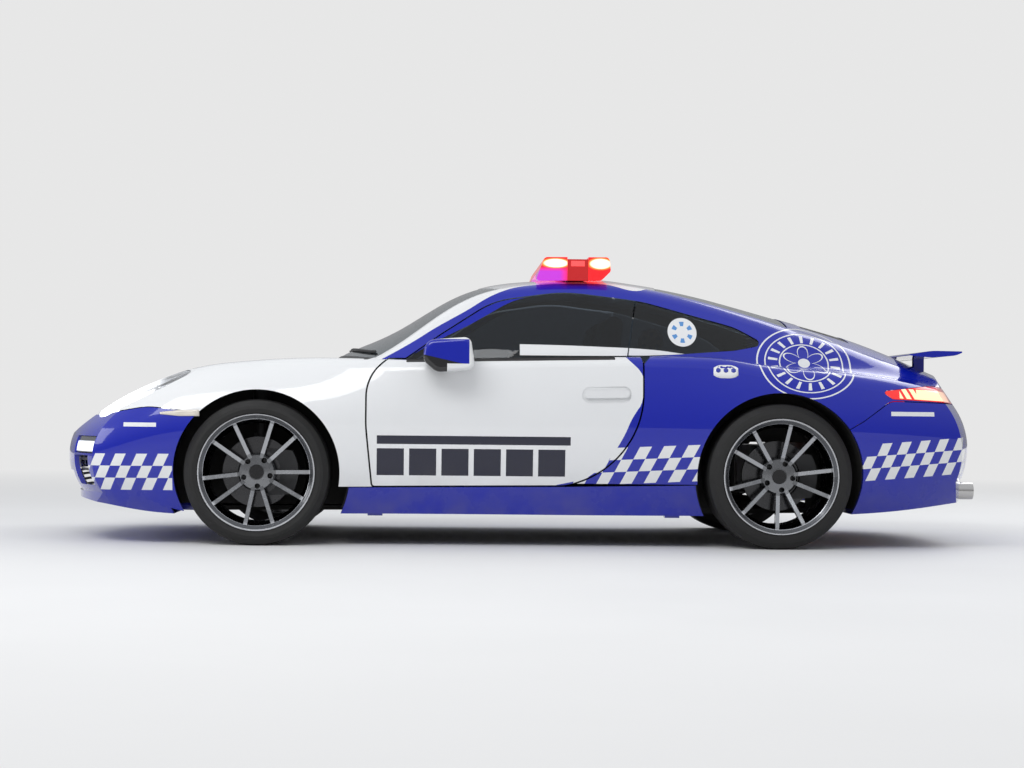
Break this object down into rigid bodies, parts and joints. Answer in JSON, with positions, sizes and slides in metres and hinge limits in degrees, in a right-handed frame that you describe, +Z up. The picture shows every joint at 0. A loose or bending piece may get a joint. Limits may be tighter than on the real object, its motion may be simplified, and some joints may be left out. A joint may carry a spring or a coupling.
{
  "type": "police patrol car",
  "caption": "Two-door rear-engined police patrol coupe with a roof light bar, opening doors and lids, steered front wheels and free-turning road wheels.",
  "frame": {"origin": "on the ground, at the middle of the overall length and width", "axes": "+X towards the rear, +Y towards the car's right side, +Z up"},
  "size_m": [4.4967, 1.976, 1.3829],
  "materials": {
    "white_paint": "gloss",
    "blue_paint": "gloss",
    "window_glass": "clear, darkly tinted",
    "lamp_glass": "clear",
    "red_lens": "clear red",
    "beacon_lens": "clear red and blue",
    "black_plastic": "fine grain",
    "black_leather": "satin",
    "polished_steel": "polished",
    "engine_alloy": "cast",
    "suspension_iron": "painted",
    "wheel_alloy": "bright silver lacquer",
    "tyre_rubber": "matt"
  },
  "bodies": {
    "body": {"underbody": "black_plastic", "wheelhouses": "black_plastic", "luggage_tub": "black_plastic", "front_bumper": "white_paint", "bumper_grilles": "black_plastic", "bumper_lamps": "black_plastic", "headlamps": "lamp_glass", "fender_left": "white_paint", "fender_right": "white_paint", "cowl": "black_plastic", "windscreen": "window_glass", "roof": "white_paint", "side_frame_left": "white_paint", "side_frame_right": "white_paint", "quarter_glass": "window_glass", "rear_window": "window_glass", "sills": "blue_paint", "rear_bumper": "white_paint", "tail_lamps": "red_lens", "exhaust": "polished_steel", "engine": "engine_alloy", "front_suspension": "suspension_iron", "rear_suspension": "suspension_iron", "dashboard": "black_plastic", "front_seats": "black_leather", "rear_seats": "black_leather", "light_bar": "black_plastic", "light_bar_lenses": "beacon_lens"},
    "door_left": {"door_left": "white_paint", "door_glass_left": "window_glass", "mirror_left": "blue_paint"},
    "door_right": {"door_right": "white_paint", "door_glass_right": "window_glass", "mirror_right": "blue_paint"},
    "front_lid": {"front_lid": "white_paint"},
    "engine_lid": {"engine_lid": "white_paint", "engine_grille": "black_plastic", "rear_spoiler": "white_paint"},
    "steering_wheel": {"steering_wheel": "black_leather"},
    "knuckle_left": {"knuckle_left": "suspension_iron"},
    "knuckle_right": {"knuckle_right": "suspension_iron"},
    "wheel_front_left": {"rim_front_left": "wheel_alloy", "tyre_front_left": "tyre_rubber"},
    "wheel_front_right": {"rim_front_right": "wheel_alloy", "tyre_front_right": "tyre_rubber"},
    "wheel_rear_left": {"rim_rear_left": "wheel_alloy", "tyre_rear_left": "tyre_rubber"},
    "wheel_rear_right": {"rim_rear_right": "wheel_alloy", "tyre_rear_right": "tyre_rubber"}
  },
  "joints": [
    {"name": "door_left_hinge", "type": "hinge", "parent": "body", "child": "door_left", "pos_m": [-0.694, -0.866, 0.56], "axis": [0, 0, -1], "range_deg": [0, 65]},
    {"name": "door_right_hinge", "type": "hinge", "parent": "body", "child": "door_right", "pos_m": [-0.694, 0.866, 0.56], "axis": [0, 0, 1], "range_deg": [0, 65]},
    {"name": "front_lid_hinge", "type": "hinge", "parent": "body", "child": "front_lid", "pos_m": [-0.8, 0, 0.886], "axis": [0, 1, 0], "range_deg": [0, 50]},
    {"name": "engine_lid_hinge", "type": "hinge", "parent": "body", "child": "engine_lid", "pos_m": [1.292, 0, 1.121], "axis": [0, -1, 0], "range_deg": [0, 45]},
    {"name": "steer_left", "type": "hinge", "parent": "body", "child": "knuckle_left", "pos_m": [-1.2505, -0.66154, 0.34], "axis": [0, 0.222, 0.9751], "range_deg": [-33, 33]},
    {"name": "steer_right", "type": "hinge", "parent": "body", "child": "knuckle_right", "pos_m": [-1.2505, 0.66154, 0.34], "axis": [0, -0.222, 0.9751], "range_deg": [-33, 33]},
    {"name": "steering_wheel_turn", "type": "hinge", "parent": "body", "child": "steering_wheel", "pos_m": [-0.4, 0.37, 0.73], "axis": [0.9135, 0, 0.4067], "range_deg": [-470, 470]},
    {"name": "spin_front_left", "type": "hinge", "parent": "knuckle_left", "child": "wheel_front_left", "pos_m": [-1.2505, -0.762, 0.34], "axis": [0, 1, 0], "continuous": true},
    {"name": "spin_front_right", "type": "hinge", "parent": "knuckle_right", "child": "wheel_front_right", "pos_m": [-1.2505, 0.762, 0.34], "axis": [0, 1, 0], "continuous": true},
    {"name": "spin_rear_left", "type": "hinge", "parent": "body", "child": "wheel_rear_left", "pos_m": [1.1995, -0.75, 0.342], "axis": [0, 1, 0], "continuous": true},
    {"name": "spin_rear_right", "type": "hinge", "parent": "body", "child": "wheel_rear_right", "pos_m": [1.1995, 0.75, 0.342], "axis": [0, 1, 0], "continuous": true}
  ],
  "couplings": [
    {"joint": "steer_right", "follows": "steer_left", "ratio": 1},
    {"joint": "steering_wheel_turn", "follows": "steer_left", "ratio": 14.2}
  ]
}
